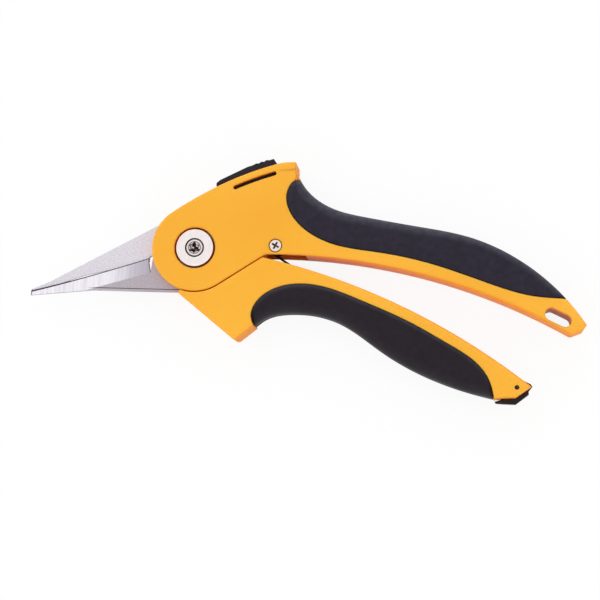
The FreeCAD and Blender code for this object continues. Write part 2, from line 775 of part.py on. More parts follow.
edge_heading = direction(tip, heel)
fixed_grind = grind("fixed_grind", along(bend, 90.0, 0.4), edge_heading, value(FIXED_HIGH), True)
moving_grind = grind("moving_grind", in_head_radii([(-1.2, 0.14)])[0], edge_heading, value(MOVING_LOW), False)
ground_end = heel - Vector(size("fit"), 0, 0)
grind_limit = prism("grind_limit", polygon([
    Vector(-FAR, -FAR, 0), Vector(ground_end.x, -FAR, 0), Vector(ground_end.x, FAR, 0), Vector(-FAR, FAR, 0)]),
    "0", FRONT)

BORE = "sizes.bolt_diameter + 2 * sizes.fit"
BUSH = "sizes.bolt_diameter + 2 * sizes.bush_wall"
POST_HOLE = "sizes.post_diameter + 2 * sizes.fit"
upper_posts = in_head_radii([(1.2, 0.57)])
lower_posts = in_head_radii([(0.95, -1.02), (2.28, -1.01)])

fixed_blank = prism("fixed_blank", fixed_blade_outline(), FIXED_LOW, FIXED_HIGH)
fixed_holes = [cylinder("fixed_post_hole", place, "0", FRONT, POST_HOLE) for place in upper_posts]
node("fixed_blade", cut("fixed_blade_cut", fixed_blank, fixed_holes + [
    common("fixed_wedge", [fixed_grind, grind_limit]), cylinder("fixed_bore", origin, "0", FRONT, BORE)]))

moving_blank = prism("moving_blank", moving_blade_outline(), MOVING_LOW, MOVING_HIGH)
moving_holes = [cylinder("moving_post_hole", place, "0", FRONT, POST_HOLE) for place in lower_posts]
node("moving_blade", cut("moving_blade_cut", moving_blank, moving_holes + [
    common("moving_wedge", [moving_grind, grind_limit]),
    cylinder("moving_bore", origin, "0", FRONT, BUSH + " + sizes.fit")]))

# ---------------------------------------------------------------- pivot

DISC_TOP = "sizes.thickness + sizes.disc_proud"
BOLT_TOP = DISC_TOP + " - 2 * sizes.fit"
HEAD_LOW = DISC_TOP + " - sizes.bolt_head_height"
WASHER_LOW = MOVING_ROOM + " - sizes.washer_thickness"
NUT_LOW = "sizes.nut_recess"
HEAD_RADIUS = "sizes.bolt_head_diameter / 2"
HEAD_HOLE = HEAD_RADIUS + " + 2 * sizes.fit"
SHANK = "sizes.bolt_diameter / 2"
BORE_RADIUS = SHANK + " + sizes.fit"
BUSH_RADIUS = SHANK + " + sizes.bush_wall"
DISC_RADIUS = "sizes.disc_diameter / 2"

bolt_body = turned("bolt_body", [
    ("0", NUT_LOW), (SHANK, NUT_LOW), (SHANK, HEAD_LOW), (HEAD_RADIUS, HEAD_LOW),
    (HEAD_RADIUS, BOLT_TOP + " - sizes.hole_edge"), (HEAD_RADIUS + " - sizes.hole_edge", BOLT_TOP),
    ("0", BOLT_TOP)])
star_recess = prism("star_recess", star(size("star_outer"), size("star_inner")),
                    BOLT_TOP + " - sizes.star_depth", ABOVE)
node("pivot_bolt", cut("pivot_bolt_cut", bolt_body, [star_recess]))
node("pivot_disc", turned("disc_body", [
    (BORE_RADIUS, FIXED_HIGH), (DISC_RADIUS, FIXED_HIGH), (DISC_RADIUS, DISC_TOP + " - sizes.disc_chamfer"),
    (DISC_RADIUS + " - sizes.disc_chamfer", DISC_TOP), (HEAD_HOLE + " + sizes.fit", DISC_TOP),
    (HEAD_HOLE, DISC_TOP + " - sizes.fit"), (HEAD_HOLE, HEAD_LOW), (BORE_RADIUS, HEAD_LOW)]))
node("pivot_bush", turned("bush_body", [
    (BORE_RADIUS, MOVING_ROOM), (BUSH_RADIUS, MOVING_ROOM), (BUSH_RADIUS, FIXED_LOW), (BORE_RADIUS, FIXED_LOW)]))
node("bearing_washer", turned("washer_body", [
    (BORE_RADIUS, WASHER_LOW), ("sizes.washer_diameter / 2", WASHER_LOW),
    ("sizes.washer_diameter / 2", MOVING_ROOM), (BORE_RADIUS, MOVING_ROOM)]))

NUT_RADIUS = "sizes.nut_width / 2 / cos(30)"
nut_body = nut("nut_body", "sizes.nut_width", NUT_LOW, WASHER_LOW)
nut_turned = turned("nut_turned", [
    (SHANK, NUT_LOW), (NUT_RADIUS + " - 2 * sizes.nut_chamfer", NUT_LOW),
    (NUT_RADIUS, NUT_LOW + " + sizes.nut_chamfer"), (NUT_RADIUS, WASHER_LOW), (SHANK, WASHER_LOW)])
node("pivot_nut", common("pivot_nut_common", [nut_body, nut_turned]))

# ---------------------------------------------------------------- shell screw and opening spring

SCREW_LOW = "2 * sizes.fit + sizes.chamber_wall"
SCREW_TOP = "sizes.thickness - sizes.fit"
SCREW_HEAD_LOW = "sizes.thickness - sizes.screw_head_height"
SCREW_SHANK = "sizes.screw_diameter / 2"
SCREW_HEAD = "sizes.screw_head_diameter / 2"
screw_spot = spot("screw")
screw_body = turned("screw_body", [
    ("0", SCREW_LOW), (SCREW_SHANK, SCREW_LOW + " + " + SCREW_SHANK), (SCREW_SHANK, SCREW_HEAD_LOW),
    (SCREW_HEAD, SCREW_HEAD_LOW), (SCREW_HEAD, SCREW_TOP + " - sizes.hole_edge"),
    (SCREW_HEAD + " - sizes.hole_edge", SCREW_TOP), ("0", SCREW_TOP)], "screw")
cross_bars = [
    prism("cross_bar", stadium(screw_spot, size("cross_length"), size("cross_width"), size("cross_angle") + turn),
          SCREW_TOP + " - sizes.cross_depth", ABOVE)
    for turn in (0.0, 90.0)]
node("shell_screw", cut("shell_screw_cut", screw_body, cross_bars))

# The coil starts at its held upper leg and ends at the lower leg, both tangent to it
coil_start = size("upper_leg_angle") + 90.0
coil_stop = size("lower_leg_angle") - 90.0
coil_turns = 3.0 + (coil_stop - coil_start) / 360.0
COIL_LOW = "sizes.thickness / 2 - sizes.coil_pitch * %.4f" % coil_turns


def wire_leg(name, start, heading, length, height):
    """A straight leg of spring wire, begun a little way inside the coil's end."""
    leg = doc.addObject("Part::Cylinder", name)
    leg.setExpression("Radius", "sizes.wire_diameter / 2")
    leg.setExpression("Height", length + " + sizes.wire_diameter / 2")
    turn = Rotation(Vector(0, 0, 1), heading) * Rotation(Vector(0, 1, 0), 90.0)
    inside = along(start, heading, -size("wire_diameter") / 2.0)
    leg.Placement = Placement(inside + Vector(0, 0, height), turn)
    return leg


helix = doc.addObject("Part::Helix", "coil_path")
helix.setExpression("Pitch", "sizes.coil_pitch")
helix.setExpression("Height", "sizes.coil_pitch * %.4f" % coil_turns)
helix.setExpression("Radius", "sizes.coil_radius")
helix.Placement = Placement(screw_spot + Vector(0, 0, value(COIL_LOW)), Rotation(Vector(0, 0, 1), coil_start))
wire_section = doc.addObject("Part::Circle", "wire_section")
wire_section.setExpression("Radius", "sizes.wire_diameter / 2")
held_spot = polar(size("coil_radius"), coil_start, screw_spot)
wire_section.Placement = Placement(
    held_spot + Vector(0, 0, value(COIL_LOW)),
    Rotation(Vector(0, 0, 1), coil_start) * Rotation(Vector(1, 0, 0), 90.0))
coil = doc.addObject("Part::Sweep", "coil")
coil.Sections = [wire_section]
coil.Spine = (helix, [])
coil.Solid = True
coil.Frenet = True
free_spot = polar(size("coil_radius"), coil_stop, screw_spot)
lower_leg = wire_leg("lower_leg", free_spot, size("lower_leg_angle"), "sizes.lower_leg", value(MIDDLE))
upper_leg = wire_leg("upper_leg", held_spot, size("upper_leg_angle"), "sizes.upper_leg", value(COIL_LOW))
node("opening_spring", fuse("opening_spring_fuse", [coil, lower_leg, upper_leg]))

# ---------------------------------------------------------------- lock slide

travel = math.degrees(size("slide_travel") / rail_radius)
window_radius = rail_radius - size("rail_depth")
runner_half = size("runner_height") / 2.0
runner_start = size("window_start") - 0.1
runner_stop = size("window_stop") + 0.4
CAP_LOW = "(sizes.thickness - sizes.slide_width) / 2"
CAP_HIGH = "(sizes.thickness + sizes.slide_width) / 2"
RUNNER_LOW = "sizes.thickness / 2 + sizes.fit"
RUNNER_ROOM = "sizes.thickness - sizes.wall"
WEB_HIGH = RUNNER_LOW + " + sizes.web_thickness"
PIN_HIGH = "sizes.thickness / 2 + sizes.lock_pin_room"

# Side view of the cap: shares of its length from the handle end, and of its height
CAP_PROFILE = [
    (0.01, 0.25), (0.035, 0.88), (0.10, 0.86), (0.15, 0.99), (0.19, 0.87), (0.23, 0.99),
    (0.27, 0.87), (0.31, 0.97), (0.37, 0.90), (0.45, 0.93), (0.91, 0.73), (0.98, 0.58), (1.0, 0.25),
]


def cap_outline():
    """The thumb cap, with its end hump, three teeth and long low ramp."""
    base = rail_radius + size("slide_lift")
    start = size("slide_start")
    stop = size("slide_stop")
    pen = Outline(polar(base, start, rail_centre))
    for share, rise in CAP_PROFILE:
        pen.line_to(polar(rail_radius + rise * size("slide_height"), start + share * (stop - start), rail_centre))
    pen.line_to(polar(base, stop, rail_centre))
    pen.swing(rail_centre, start - stop)
    return pen.curves


cap = prism("slide_cap", cap_outline(), CAP_LOW, CAP_HIGH)
web = prism("slide_web", ring_sector(
    rail_centre, window_radius, rail_radius + 2.0 * size("slide_lift"), size("web_start"), size("web_stop")),
    RUNNER_LOW, WEB_HIGH)
runner = prism("slide_runner", ring_sector(
    rail_centre, window_radius - runner_half, window_radius + runner_half, runner_start, runner_stop),
    RUNNER_LOW, RUNNER_ROOM + " - sizes.fit")
pin_bore = cylinder("slide_pin_bore", lock_spot, "0", PIN_HIGH, "sizes.lock_pin_diameter")
node("lock_slide", cut("lock_slide_cut", fuse("lock_slide_fuse", [cap, web, runner]), [pin_bore]))
PIN_RADIUS = "sizes.lock_pin_diameter / 2"
PIN_LOW = MOVING_LOW + " + sizes.fit"
node("lock_pin", turned("lock_pin_rod", [
    ("0", PIN_LOW), (PIN_RADIUS, PIN_LOW), (PIN_RADIUS, PIN_HIGH), ("0", PIN_HIGH)], lock_spot))

# ---------------------------------------------------------------- end hook

HOOK_LOW = "(sizes.thickness - sizes.hook_thickness) / 2"
HOOK_HIGH = "(sizes.thickness + sizes.hook_thickness) / 2"
hook_spot = spot("hook_pin")

# A flat lever with a barb, in shares of its length about its pin
HOOK_CORNERS = [
    (0.375, 0.110), (0.143, 0.231), (-0.229, 0.157), (-0.346, -0.051), (-0.419, -0.297), (-0.582, -0.349),
    (-0.551, -0.393), (-0.350, -0.409), (-0.029, -0.425), (0.319, -0.166), (0.318, -0.084), (0.421, 0.043),
]
hook_corners = [hook_spot + Vector(across, up, 0) * size("hook_length") for across, up in HOOK_CORNERS]
hook_blank = prism("hook_blank", polygon(hook_corners), HOOK_LOW, HOOK_HIGH)
hook_bore = cylinder("hook_bore", "hook_pin", "0", FRONT, "sizes.hook_pin_diameter + sizes.fit")
node("end_hook", cut("end_hook_cut", hook_blank, [hook_bore]))
HOOK_PIN = "sizes.hook_pin_diameter / 2"
HOOK_PIN_TOP = "sizes.thickness - 2 * sizes.fit"
node("hook_pin", turned("hook_pin_rod", [
    ("0", "sizes.hook_pin_short"), (HOOK_PIN, "sizes.hook_pin_short"), (HOOK_PIN, HOOK_PIN_TOP + " - sizes.fit"),
    (HOOK_PIN + " - sizes.fit", HOOK_PIN_TOP), ("0", HOOK_PIN_TOP)], "hook_pin"))

# ---------------------------------------------------------------- rooms in the upper shells

disc_room = cylinder("disc_room", origin, MIDDLE, ABOVE, "sizes.disc_diameter + 2 * sizes.disc_hole_gap")
disc_sink = countersink("disc_sink", origin, DISC_RADIUS + " + sizes.disc_hole_gap", FRONT)
window = prism("window", ring_slot(rail_centre, window_radius, size("window_width"), size("window_start"),
                                   size("window_stop")), MIDDLE, ABOVE)
runner_room = prism("runner_room", ring_sector(
    rail_centre, window_radius - runner_half - size("fit"), window_radius + runner_half + size("fit"),
    runner_start - travel - 0.15, runner_stop + 0.15), MIDDLE, RUNNER_ROOM)
web_room = prism("web_room", ring_sector(
    rail_centre, window_radius, rail_radius + 3.0, size("web_start") - travel - 0.15, size("web_stop") + 0.15),
    MIDDLE, WEB_HIGH + " + sizes.fit")
screw_recess = cylinder("screw_recess", "screw", SCREW_HEAD_LOW, ABOVE, "sizes.screw_head_diameter + 0.4")
screw_sink = countersink("screw_sink", "screw", SCREW_HEAD + " + 0.2", FRONT)
screw_hole = cylinder("screw_hole", "screw", SCREW_LOW, FRONT, "sizes.screw_diameter")
boss = cylinder("boss", "screw", "0", FRONT, "sizes.boss_diameter")
coil_round = cylinder("coil_round", "screw", COIL_LOW + " - sizes.wire_diameter", "sizes.thickness / 2 + sizes.wire_diameter",
                      "2 * sizes.coil_radius + sizes.wire_diameter + 6 * sizes.fit")
chamber_left = screw_spot.x - size("chamber_start")
chamber_right = chamber_left + size("chamber_length")
chamber_top = screw_spot.y + size("chamber_rise")
chamber_foot = screw_spot.y - head / 2.0
chamber_run = prism("chamber_run", polygon([
    Vector(chamber_left, chamber_foot, 0), Vector(chamber_right + size("chamber_slant") / 2.0, chamber_foot, 0),
    Vector(chamber_right - size("chamber_slant"), chamber_top, 0), Vector(chamber_left, chamber_top, 0)]),
    "sizes.chamber_wall", "sizes.thickness - sizes.chamber_wall")
chamber = cut("chamber", fuse("chamber_fuse", [coil_round, chamber_run]), [boss])
leg_side = size("wire_diameter") / 2.0 + size("fit")
leg_far = along(held_spot, size("upper_leg_angle"), size("upper_leg") + size("fit"))
held_room = prism("held_room", polygon([
    along(held_spot, coil_start, -leg_side), along(leg_far, coil_start, -leg_side),
    along(leg_far, coil_start, leg_side), along(held_spot, coil_start, leg_side)]),
    COIL_LOW + " - sizes.wire_diameter / 2 - sizes.fit", MIDDLE)
hang_slot = prism("hang_slot", stadium(spot("hang"), size("hang_length"), size("hang_width"), size("hang_angle")),
                  BELOW, ABOVE)

# The facet under the flange: a slope that starts at the rail's end and deepens to the rim
step_near = polar(rail_radius - size("rim_height"), size("slide_start") + 0.5, rail_centre)
step_far = rim_end - Vector(0, size("rim_height"), 0)
fade = grip_top - Vector(size("rim_height") * 1.5, 0, 0)


def scoop(name, face, inward):
    """The wedge that leaves the facet in one face of the upper handle."""
    corners = [step_near, step_far + Vector(2.0, 0, 0), fade + Vector(6.0, 0, 0), fade]
    low = Vector(step_near.x, step_near.y, face)
    deep = Vector(step_far.x, step_far.y, face + inward * size("scoop_depth"))
    level = Vector(fade.x, fade.y, face)
    down = (deep - low).cross(level - low)
    down = down * (1.0 if down.z * inward > 0 else -1.0)
    block = doc.addObject("Part::Box", name + "_block")
    block.Length = "40 mm"
    block.Width = "40 mm"
    block.Height = "10 mm"
    lean = Rotation(Vector(0, 0, -1), down)
    block.Placement = Placement(low, lean) * Placement(Vector(-20.0, -20.0, 0), Rotation())
    limits = (BELOW, ABOVE)
    return common(name, [block, prism(name + "_limit", polygon(corners), *limits)])


fixed_pocket = spread("fixed_pocket", fixed_blade_outline(), "sizes.fit", MIDDLE + " - 1", FIXED_HIGH)
front_posts = [cylinder("front_post", place, MIDDLE, FIXED_HIGH, "sizes.post_diameter") for place in upper_posts]
fixed_room = cut("fixed_room", fixed_pocket, front_posts)
node("upper_front_shell", cut("upper_front_shell_cut", upper_blanks[0], [
    fixed_room, disc_room, disc_sink, window, runner_room, web_room, screw_recess, screw_sink, screw_hole,
    chamber, hang_slot, scoop("front_scoop", thickness, -1.0)]))

plate_room = cylinder("plate_room", origin, MOVING_ROOM, MIDDLE, "2 * sizes.plate_radius + 2 * sizes.running_gap")
blade_room = prism("blade_room", ring_sector(origin, 0.0, head + 1.2, 80.0, 200.0), MOVING_ROOM, MIDDLE)
blade_exit = prism("blade_exit", ring_sector(origin, 0.0, head * 2.5, 98.0, 200.0), MOVING_ROOM, MIDDLE)
tail_exit = prism("tail_exit", ring_sector(origin, 0.0, head * 2.5, 248.0, 332.0), MOVING_ROOM, MIDDLE)
ear_room = prism("ear_room", ring_sector(origin, 0.0, finger_top + 0.4, ear_near - opening - 1.5, ear_far + 1.0),
                 MOVING_ROOM, MIDDLE)
pin_room = prism("pin_room", ring_slot(rail_centre, window_radius, size("lock_pin_diameter") + 0.5,
                                       size("lock_pin_angle") - travel, size("lock_pin_angle")), MOVING_ROOM, MIDDLE)
washer_room = cylinder("washer_room", origin, WASHER_LOW, MIDDLE, "sizes.washer_diameter + 4 * sizes.fit")
nut_room = nut("nut_room", "sizes.nut_width + 2 * sizes.fit", BELOW, MIDDLE)
node("upper_back_shell", cut("upper_back_shell_cut", upper_blanks[1], [
    plate_room, blade_room, blade_exit, tail_exit, ear_room, pin_room, washer_room, nut_room,
    screw_hole, chamber, held_room, hang_slot, scoop("back_scoop", 0.0, 1.0)]))

# ---------------------------------------------------------------- rooms in the lower shells

toe_reach = spot("toe").Length + size("fit")
heel_sweep = cylinder("heel_sweep", origin, MIDDLE, FIXED_HIGH + " + sizes.fit", str(2.0 * toe_reach))
swept = polar(toe_reach, direction(origin, spine) + opening + 1.0)
heel_wedge = prism("heel_wedge", polygon([
    swept, along(swept, 180.0 + opening + 1.0, head), polar(plate, 200.0), origin]),
    MIDDLE, FIXED_HIGH + " + sizes.fit")
leg_heading = size("lower_leg_angle")
groove_start = along(along(free_spot, leg_heading, 1.0), leg_heading - 90.0, size("wire_diameter"))
groove_end = along(groove_start, leg_heading, size("lower_leg"))
leg_groove = prism("leg_groove", polygon([
    groove_start, groove_end, groove_end + Vector(3.0, 3.0, 0),
    Vector(groove_end.x + 3.0, screw_spot.y, 0), Vector(groove_start.x, screw_spot.y, 0)]),
    "sizes.thickness / 2 - 0.6", "sizes.thickness / 2 + 0.6")
hook_room = cylinder("hook_room", "hook_pin", HOOK_LOW + " - sizes.fit", HOOK_HIGH + " + sizes.fit",
                     "sizes.hook_length + 1")
hook_pin_hole = cylinder("hook_pin_hole", "hook_pin", "sizes.hook_pin_short", ABOVE, "sizes.hook_pin_diameter")
tail_pocket = spread("tail_pocket", moving_blade_outline(), "sizes.fit", MOVING_ROOM, MIDDLE)
tail_posts = [cylinder("tail_post", place, MOVING_ROOM, MIDDLE, "sizes.post_diameter") for place in lower_posts]
tail_room = cut("tail_room", tail_pocket, tail_posts)

node("lower_front_shell", cut("lower_front_shell_cut", lower_blanks[0], [
    heel_sweep, heel_wedge, leg_groove, hook_room, hook_pin_hole]))
node("lower_back_shell", cut("lower_back_shell_cut", lower_blanks[1], [
    tail_room, leg_groove, hook_room, hook_pin_hole]))

# ---------------------------------------------------------------- checks and files

doc.recompute()
for item in doc.Objects:
    if "Invalid" in item.State or "Error" in item.State:
        raise RuntimeError("%s failed: %s" % (item.Name, item.State))

os.makedirs("parts", exist_ok=True)
for item in NODES:
    shape = item.Shape
    if shape.isNull() or not shape.isValid():
        raise RuntimeError("%s has no valid shape" % item.Label)
    print("%-20s solids %d volume %9.2f" % (item.Label, len(shape.Solids), shape.Volume))
    shape.exportStep("parts/%s.step" % item.Label)
print("slide turns about %.6f %.6f, travel %.4f degrees" % (rail_centre.x, rail_centre.y, travel))
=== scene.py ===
# %% [markdown]
# # Pruning shears
#
# A pair of straight garden snips lies closed on a pale table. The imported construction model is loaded
# as a fixed frame: every handle shell, blade and screw is already in place and at its real size, in
# metres. This lesson gives each surface its real finish, then lights it like a catalogue picture.

# %% Load the frame
import math

import bpy
from mathutils import Matrix, Vector


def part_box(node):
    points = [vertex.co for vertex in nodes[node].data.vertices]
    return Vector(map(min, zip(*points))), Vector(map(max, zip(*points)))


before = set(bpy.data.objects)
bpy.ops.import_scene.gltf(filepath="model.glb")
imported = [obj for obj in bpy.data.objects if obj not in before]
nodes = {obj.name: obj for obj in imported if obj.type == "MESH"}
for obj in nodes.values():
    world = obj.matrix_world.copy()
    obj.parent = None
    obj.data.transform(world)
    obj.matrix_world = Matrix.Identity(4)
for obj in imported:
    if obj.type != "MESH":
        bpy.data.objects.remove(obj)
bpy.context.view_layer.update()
MM = 0.001
print("nodes:", len(nodes))


# %% [markdown]
# ## Small tools for materials
#
# A material is a graph of nodes, so one small function adds a node, gives it its settings and links
# sockets into it. Colours are written as they look on a screen and turned into linear light once.
# Every pattern is measured in millimetres on the object itself, so it stays put when the tool opens.

# %% Node tools
def add_node(tree, kind, links=(), **settings):
    """Add one shader node, give it its settings, and link sockets into its inputs."""
    node = tree.nodes.new(kind)
    for name, value in settings.items():
        if name in node.inputs:
            node.inputs[name].default_value = value
        else:
            setattr(node, name, value)
    for source, target in links:
        tree.links.new(source, node.inputs[target])
    return node


def linear(hex_colour):
    """An sRGB hex colour as linear RGBA."""
    channels = [int(hex_colour[i:i + 2], 16) / 255.0 for i in (1, 3, 5)]
    curve = [c / 12.92 if c <= 0.04045 else ((c + 0.055) / 1.055) ** 2.4 for c in channels]
    return (*curve, 1.0)


def finish(name, colour, **settings):
    """A new material: its tree, its shader and its object coordinates."""
    material = bpy.data.materials.new(name)
    material.use_nodes = True
    tree = material.node_tree
    shader = tree.nodes["Principled BSDF"]
    shader.inputs["Base Color"].default_value = linear(colour)
    for socket, value in settings.items():
        shader.inputs[socket.replace("_", " ")].default_value = value
    place = add_node(tree, "ShaderNodeTexCoord")
    return material, tree, shader, place


def noise(tree, vector, size_mm, detail=3.0, stretch=(1.0, 1.0, 1.0)):
    """Noise whose spots are about size_mm across, longer where stretch is large."""
    scale = tuple(1.0 / (size_mm * MM * s) for s in stretch)
    mapping = add_node(tree, "ShaderNodeMapping", [(vector, "Vector")], Scale=scale)
    spots = add_node(tree, "ShaderNodeTexNoise", [(mapping.outputs["Vector"], "Vector")],
                     Scale=1.0, Detail=detail)
    return spots.outputs["Fac"]


def between(tree, factor, start, stop, low=0.0, high=1.0):
    """A factor brought from one range of numbers to another, and held inside it."""
    node = add_node(tree, "ShaderNodeMapRange", [(factor, "Value")], **{
        "From Min": start, "From Max": stop, "To Min": low, "To Max": high})
    return node.outputs["Result"]


def ramp(tree, factor, stops):
    """A colour along a factor, from (place, hex colour) stops."""
    node = add_node(tree, "ShaderNodeValToRGB", [(factor, "Fac")])
    elements = node.color_ramp.elements
    for index, (place, colour) in enumerate(stops):
        element = elements[index] if index < 2 else elements.new(place)
        element.position = place
        element.color = linear(colour)
    return node.outputs["Color"]


def blend_colours(tree, factor, first, second, kind="MIX"):
    """Mix or multiply two colours by a factor."""
    node = add_node(tree, "ShaderNodeMix", data_type="RGBA", blend_type=kind)
    if isinstance(factor, float):
        node.inputs[0].default_value = factor
    else:
        tree.links.new(factor, node.inputs[0])
    tree.links.new(first, node.inputs[6])
    tree.links.new(second, node.inputs[7])
    return node.outputs[2]


def maths(tree, operation, first, second):
    """One sum on two numbers or sockets."""
    node = add_node(tree, "ShaderNodeMath", operation=operation)
    for index, item in enumerate((first, second)):
        if isinstance(item, (int, float)):
            node.inputs[index].default_value = item
        else:
            tree.links.new(item, node.inputs[index])
    return node.outputs[0]


def product(tree, first, *others):
    """Numbers or sockets multiplied together."""
    for other in others:
        first = maths(tree, "MULTIPLY", first, other)
    return first


def within(tree, value, low, high, fade_below, fade_above):
    """1 where value lies between low and high, fading to 0 over a short way outside (all in mm)."""
    rising = between(tree, value, (low - fade_below) * MM, low * MM)
    falling = between(tree, value, high * MM, (high + fade_above) * MM, 1.0, 0.0)
    return product(tree, falling, rising)


def length(tree, across, up):
    """The distance that two offsets make."""
    squares = maths(tree, "ADD", product(tree, across, across), product(tree, up, up))
    return maths(tree, "SQRT", squares, 0.0)


def relief(tree, shader, height, depth_mm, strength=1.0, rounding=None):
    """Fine relief from a height pattern, over edges that rounding may have softened."""
    bump = add_node(tree, "ShaderNodeBump", [(height, "Height")],
                    Distance=depth_mm * MM, Strength=strength)
    if rounding is not None:
        tree.links.new(rounding, bump.inputs["Normal"])
    tree.links.new(bump.outputs["Normal"], shader.inputs["Normal"])


def rounded(tree, radius_mm):
    """The surface direction with its moulded edges rounded to a radius, for the shader and for masks.

    The second one is turned into the object's own axes, so a mask stays put when the tool opens."""
    soft = add_node(tree, "ShaderNodeBevel", Radius=radius_mm * MM, samples=8).outputs["Normal"]
    own = add_node(tree, "ShaderNodeVectorTransform", [(soft, "Vector")], vector_type="NORMAL",
                   convert_from="WORLD", convert_to="OBJECT")
    return soft, own.outputs["Vector"]


def split(tree, vector):
    """The X, Y and Z of a vector socket."""
    return add_node(tree, "ShaderNodeSeparateXYZ", [(vector, "Vector")]).outputs


def put_on(material, *names):
    """Give nodes of the frame their material."""
    for name in names:
        for slot in nodes[name].material_slots:
            slot.material = material
    print(material.name, "on", len(names), "nodes")


# %% [markdown]
# ## Handle shells
#
# The shells are injection moulded in a tough orange-yellow plastic with a satin mould texture. Such a
# plastic lets a little light in, and the red part of it travels furthest, so its seams and pockets
# look a deep red-orange and its side walls a little deeper than its faces. A short subsurface distance
# gives part of that. The rest is painted shade: the side walls, found by the direction of the surface,
# are painted a deeper orange, and the pivot's counterbore and the hollow of the head a deep red. The
# painted wall shade is kept slight, because the part is one moulding of one colour. The mould
# texture is a fine grain, and the edges, which every mould rounds, are softened in the shading.

# %% Shell plastic
EDGE_RADIUS = 1.1          # how far the moulded edges are softened, mm
PIVOT_RADIUS = 7.4         # the disc's counterbore, mm
COUNTERBORE = (8.6, 13.5)  # its floor and mouth, mm above the table
HOLLOW = (2.1, 11.9)       # the inside of the head, between its front and back walls


def shell_plastic():
    material, tree, shader, place = finish(
        "satin_moulded_shell", "#F8B432", Subsurface_Weight=0.3, Subsurface_Scale=0.0022,
        Subsurface_Radius=(1.0, 0.28, 0.06))
    spot = place.outputs["Object"]
    drift = noise(tree, spot, 45.0, detail=1.0)
    face = ramp(tree, drift, [(0.3, "#F3AD22"), (0.7, "#FAB52E")])
    streak = noise(tree, spot, 4.0, detail=3.0)
    # Painted shade: the side walls are painted a deeper orange than the faces, by the direction of the
    # surface
    painted_wall_shade = ramp(tree, streak, [(0.3, "#F28A12"), (0.7, "#F6961C")])
    soft_edge, own_edge = rounded(tree, EDGE_RADIUS)
    upright = maths(tree, "ABSOLUTE", split(tree, own_edge)["Z"], 0.0)
    is_wall = between(tree, upright, 0.1, 0.8, 1.0, 0.0)
    tree.links.new(between(tree, is_wall, 0.0, 1.0, 0.4, 0.04), shader.inputs["Specular IOR Level"])
    colour = blend_colours(tree, is_wall, face, painted_wall_shade)
    # Painted shade: the deep pockets, the pivot's counterbore and the slide's chamber, take little light,
    # so a deep red is painted in them
    x, y, z = (split(tree, spot)[axis] for axis in "XYZ")
    near_pivot = between(tree, length(tree, x, y), PIVOT_RADIUS * MM, (PIVOT_RADIUS + 0.4) * MM, 1.0, 0.0)
    counterbore = product(tree, near_pivot, within(tree, z, *COUNTERBORE, 0.6, 0.4))
    not_wall = maths(tree, "SUBTRACT", 1.0, is_wall)
    hollow = product(tree, within(tree, z, *HOLLOW, 0.7, 0.7), not_wall)
    pocket_shade_mask = maths(tree, "MAXIMUM", counterbore, hollow)
    painted_pocket_shade = ramp(tree, streak, [(0.3, "#C41E04"), (0.7, "#D83208")])
    colour = blend_colours(tree, pocket_shade_mask, colour, painted_pocket_shade)
    tree.links.new(colour, shader.inputs["Base Color"])
    grain = noise(tree, spot, 0.22, detail=2.0)
    scuffs = noise(tree, spot, 6.0, detail=6.0)
    satin = between(tree, grain, 0.3, 0.7, 0.36, 0.46)
    rough = maths(tree, "ADD", satin, between(tree, scuffs, 0.6, 0.75, 0.0, 0.1))
    tree.links.new(rough, shader.inputs["Roughness"])
    relief(tree, shader, grain, 0.012, 0.6, soft_edge)
    return material


put_on(shell_plastic(), "upper_front_shell", "upper_back_shell", "lower_front_shell", "lower_back_shell")


# %% [markdown]
# ## Soft grips
#
# The grips are a black thermoplastic rubber moulded over the shells. It has a faint violet cast, a
# stippled skin of about half a millimetre, and it is shiny only at a glancing angle. Hands polish it
# in patches, so its roughness wanders. Its rounded edges that face +Y carry a painted highlight, a
# paler grey. The lower grip is a little deeper in tone than the upper one.

# %% Grip rubber
def grip_rubber(name, dark, light):
    material, tree, shader, place = finish(name, dark, Specular_IOR_Level=0.28)
    spot = place.outputs["Object"]
    mottle = noise(tree, spot, 2.2, detail=5.0)
    colour = ramp(tree, mottle, [(0.35, dark), (0.7, light)])
    crown, own_crown = rounded(tree, 3.0)
    facing = split(tree, own_crown)["Y"]
    # Painted highlight: rounded edges facing +Y are painted a paler grey, as if lit from that side
    painted_highlight_mask = between(tree, facing, 0.12, 0.75, 0.0, 0.55)
    painted_highlight_grey = ramp(tree, mottle, [(0.3, "#3E3D4A"), (0.7, "#565563")])
    colour = blend_colours(tree, painted_highlight_mask, colour, painted_highlight_grey)
    tree.links.new(colour, shader.inputs["Base Color"])
    stipple = noise(tree, spot, 0.45, detail=2.0)
    polish = noise(tree, spot, 14.0, detail=2.0)
    tree.links.new(between(tree, polish, 0.35, 0.65, 0.5, 0.62), shader.inputs["Roughness"])
    relief(tree, shader, stipple, 0.05, 0.9, crown)
    return material


put_on(grip_rubber("soft_rubber_upper", "#171222", "#231D2E"), "upper_front_grip", "upper_back_grip")
put_on(grip_rubber("soft_rubber_lower", "#0F0510", "#190D1B"), "lower_front_grip", "lower_back_grip")


# %% [markdown]
# ## Blades
#
# Both blades are hardened steel. The wheel that grinds the cutting face runs across the blade, so its
# marks are short streaks across the length, each a slightly different grey. The unground flat of the
# front blade is darker and smoother. The ground face leans, so the object-space normal tells the two
# apart. A dark line is painted along the cutting edge, wider towards the tip and over the tip itself:
# painted shadow where the edge lies against the other blade. The spine has a fine line beside its
# eased corner.

# %% Blade steel
TIP_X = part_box("fixed_blade")[0][0] / MM
HEEL_X = -18.3         # where the ground bevel ends at the relief notch, mm
EDGE_ARC = 0.14        # how much lower the edge lies at tip and heel than at mid-blade
FRONT_EDGE_Z = 7.65    # the cutting edges' height at mid-blade
REAR_EDGE_Z = 6.35
SPINE_LINE = (-39.2, -13.35, 0.04)  # a point on the line beside the spine, and its slope


